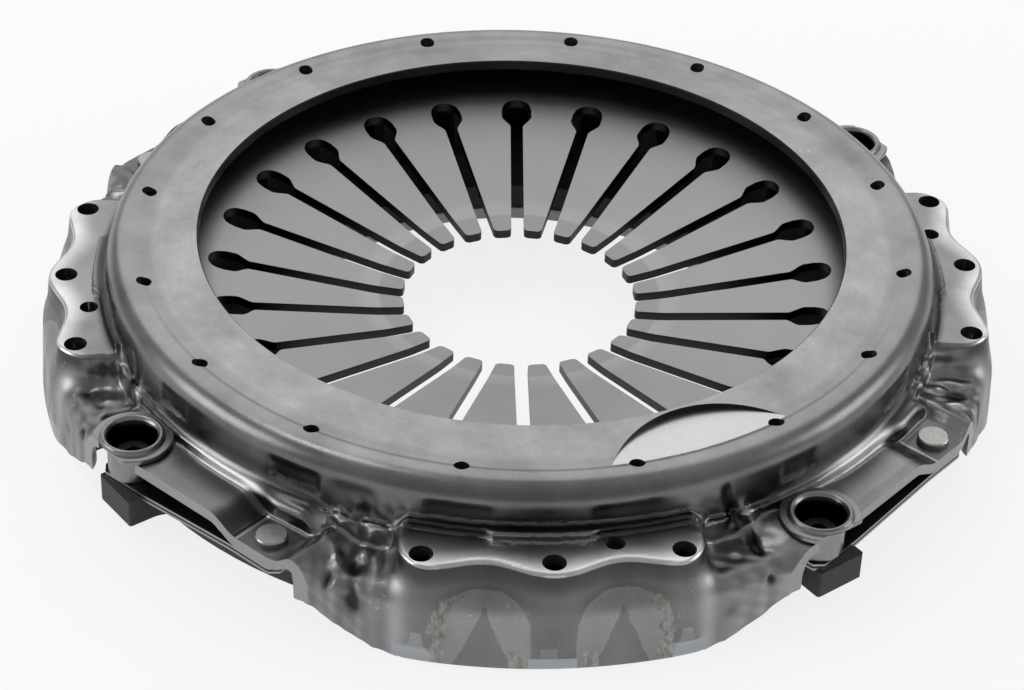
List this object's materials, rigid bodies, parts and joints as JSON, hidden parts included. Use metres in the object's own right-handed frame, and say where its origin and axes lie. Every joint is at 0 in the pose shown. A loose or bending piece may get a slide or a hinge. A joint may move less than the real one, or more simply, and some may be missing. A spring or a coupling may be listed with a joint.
{
  "type": "clutch pressure plate",
  "caption": "Pull-type truck clutch cover: pressed-steel cover with bolt lugs, slotted diaphragm spring, leaf springs and a cast pressure plate that lifts inside it.",
  "frame": {"origin": "centre of the plane of the cover's foot, which seats on the flywheel", "axes": "+Z along the clutch axis, from the flywheel towards the gearbox; +X and +Y through the middle bolts of two neighbouring lugs"},
  "size_m": [0.4782, 0.4782, 0.0767],
  "materials": {
    "cover_steel": "satin pressed steel, bare, lightly oiled",
    "wire_steel": "drawn spring wire",
    "spring_steel": "matt shot-peened spring steel",
    "cast_iron": "as cast, friction face and bore machined",
    "leaf_steel": "dark rolled spring steel",
    "rivet_steel": "bright steel, turned head",
    "sleeve_steel": "dark steel with a brighter rim",
    "bolt_steel": "black oxide"
  },
  "bodies": {
    "cover_assembly": {"cover": "cover_steel", "fulcrum_ring": "wire_steel", "diaphragm_spring": "spring_steel", "leaf_spring_1_1": "leaf_steel", "leaf_spring_1_2": "leaf_steel", "leaf_spring_1_3": "leaf_steel", "leaf_spring_2_1": "leaf_steel", "leaf_spring_2_2": "leaf_steel", "leaf_spring_2_3": "leaf_steel", "leaf_spring_3_1": "leaf_steel", "leaf_spring_3_2": "leaf_steel", "leaf_spring_3_3": "leaf_steel", "leaf_spring_4_1": "leaf_steel", "leaf_spring_4_2": "leaf_steel", "leaf_spring_4_3": "leaf_steel", "cover_rivet_1": "rivet_steel", "cover_rivet_2": "rivet_steel", "cover_rivet_3": "rivet_steel", "cover_rivet_4": "rivet_steel"},
    "plate_assembly": {"pressure_plate": "cast_iron", "sleeve_1": "sleeve_steel", "sleeve_2": "sleeve_steel", "sleeve_3": "sleeve_steel", "sleeve_4": "sleeve_steel", "sleeve_bolt_1": "bolt_steel", "sleeve_bolt_2": "bolt_steel", "sleeve_bolt_3": "bolt_steel", "sleeve_bolt_4": "bolt_steel"}
  },
  "joints": [
    {"name": "plate_lift", "type": "slide", "parent": "cover_assembly", "child": "plate_assembly", "axis": [0, 0, 1], "range_m": [0, 0.0055], "stiffness_N_per_m": 5000, "springref_m": -0.002, "deforming": ["diaphragm_spring", "leaf_spring_1_1", "leaf_spring_1_2", "leaf_spring_1_3", "leaf_spring_2_1", "leaf_spring_2_2", "leaf_spring_2_3", "leaf_spring_3_1", "leaf_spring_3_2", "leaf_spring_3_3", "leaf_spring_4_1", "leaf_spring_4_2", "leaf_spring_4_3"]}
  ]
}
